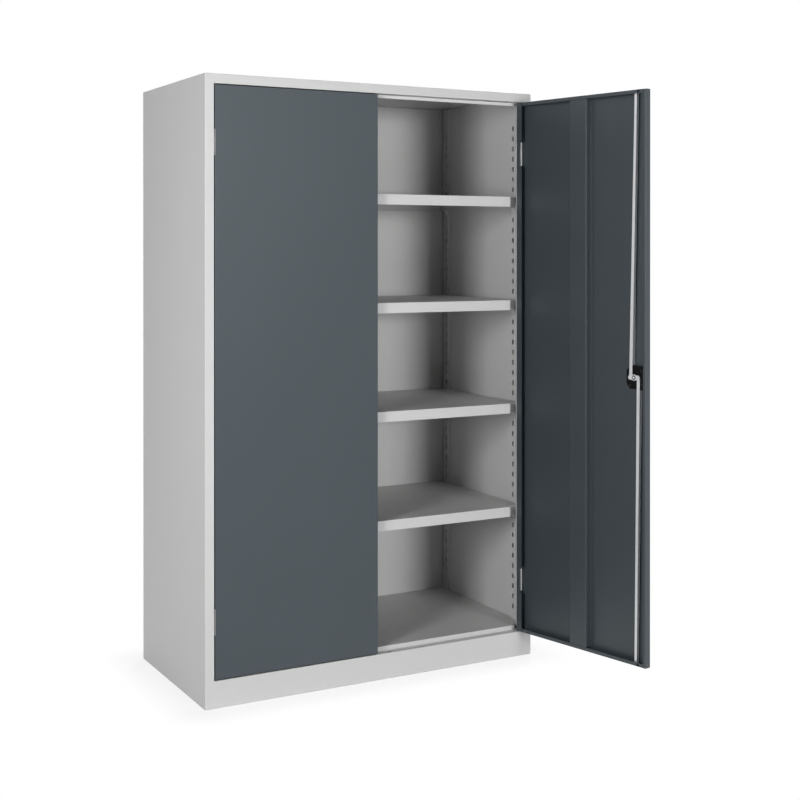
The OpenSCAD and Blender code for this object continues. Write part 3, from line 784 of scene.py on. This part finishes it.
def build_floor():
    """A large pale floor that keeps the cabinet's shadow and turns white away from it.

    The share of plain white is 0 inside the cabinet's footprint. Outside it starts at
    0.82 and reaches 1 at 0.16 m from the footprint, where the distance is the length of
    max(|position| - half the footprint, 0).
    """
    half = 14.0
    verts = np.array([(-half, -half, 0), (half, -half, 0), (half, half, 0), (-half, half, 0)])
    material, tree, shader = new_material("studio_floor")
    shader.inputs["Base Color"].default_value = (*FLOOR, 1.0)
    shader.inputs["Roughness"].default_value = 0.6
    shader.inputs["Specular IOR Level"].default_value = 0.1
    _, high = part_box("side_right")
    beyond = own_place(tree)
    for operation, amount in (("ABSOLUTE", None), ("SUBTRACT", (high[0], high[1], 0.0)),
                              ("MAXIMUM", (0.0, 0.0, 0.0)), ("LENGTH", None)):
        step = node(tree, "ShaderNodeVectorMath", operation=operation)
        tree.links.new(beyond, step.inputs[0])
        if amount:
            step.inputs[1].default_value = amount
        beyond = step.outputs["Value" if operation == "LENGTH" else "Vector"]
    white = maths(tree, "MULTIPLY", spread(tree, beyond, 0.0, 0.16, 0.82, 1.0),
                  maths(tree, "GREATER_THAN", beyond, 0.0))
    glow = node(tree, "ShaderNodeEmission", {"Color": (*WHITE, 1.0), "Strength": 1.0})
    mixed_surface(tree, maths(tree, "MULTIPLY", white, seen_directly(tree)),
                  shader.outputs[0], glow.outputs[0], tree.nodes["Material Output"])
    floor = mesh_piece("studio_floor", verts, [[0, 1, 2, 3]], material, smooth=False)


def build_world(ambient):
    """White to the camera and in reflections, a soft even light for everything else."""
    world = bpy.data.worlds.new("studio")
    bpy.context.scene.world = world
    world.use_nodes = True
    tree = world.node_tree
    tree.nodes.clear()
    lit, plain = [node(tree, "ShaderNodeBackground", {"Color": (*WHITE, 1.0), "Strength": s})
                  for s in (ambient, 1.0)]
    mixed_surface(tree, seen_directly(tree), lit.outputs[0], plain.outputs[0],
                  node(tree, "ShaderNodeOutputWorld"))


def softbox(name, at, aim, width, height, watts, mirrored, lights=True, spread_deg=180):
    """A rectangular lamp that faces a point, seen in gloss, in matt light or in both.

    A spread below 180 degrees gathers the same watts into a narrower beam.
    """
    light = bpy.data.lights.new(name, "AREA")
    light.shape = "RECTANGLE"
    light.size = width
    light.size_y = height
    light.energy = watts
    light.spread = math.radians(spread_deg)
    lamp = bpy.data.objects.new(name, light)
    facing = (Vector(aim) - Vector(at)).to_track_quat("-Z", "Y").to_matrix().to_4x4()
    lamp.matrix_world = Matrix.Translation(at) @ facing
    lamp.visible_glossy = mirrored
    lamp.visible_diffuse = lights
    bpy.context.scene.collection.objects.link(lamp)


def build_lamps():
    """Key light, a strip along the left side, a sheen on the doors and a light behind."""
    softbox("front_right", (1.55, -8.3, 1.6), (0.1, 0.0, 1.1), width=2.1, height=1.4,
            watts=352, mirrored=False)
    softbox("far_left", (-3.3, -2.3, 1.7), (0.1, -0.2, 1.1), width=0.9, height=1.5,
            watts=80, mirrored=True)
    softbox("sheen", (1.2, -8.3, 2.6), (0.1, 0.0, 1.1), width=1.5, height=1.4,
            watts=62, mirrored=True, lights=False)
    softbox("behind_right", (4.0, 4.6, 4.5), (0.2, 0.0, 1.0), width=1.6, height=1.6,
            watts=26, mirrored=True, spread_deg=50)


def build_camera():
    """The photograph's camera: verticals stay upright because the frame is shifted down."""
    camera = bpy.data.cameras.new("photo_camera")
    camera.sensor_width = SENSOR
    camera.lens = FOCAL_PX / IMAGE_PX * SENSOR
    camera.shift_y = (HORIZON_PX - IMAGE_PX / 2) / IMAGE_PX
    camera.clip_end = VIEW_END
    holder = bpy.data.objects.new("photo_camera", camera)
    holder.location = CAMERA_AT
    holder.rotation_euler = (math.radians(90 + VIEW_PITCH), 0, math.radians(-VIEW_YAW))
    bpy.context.scene.collection.objects.link(holder)
    bpy.context.scene.camera = holder


# ---------------------------------------------------------------- put together

dress_cad_nodes()
build_handle()
build_cam_screw()
build_rod_guides()
build_weld_marks()
build_dressed_seams()
build_floor()
build_world(0.04)
build_lamps()
build_camera()
bpy.context.scene.view_settings.view_transform = "Standard"
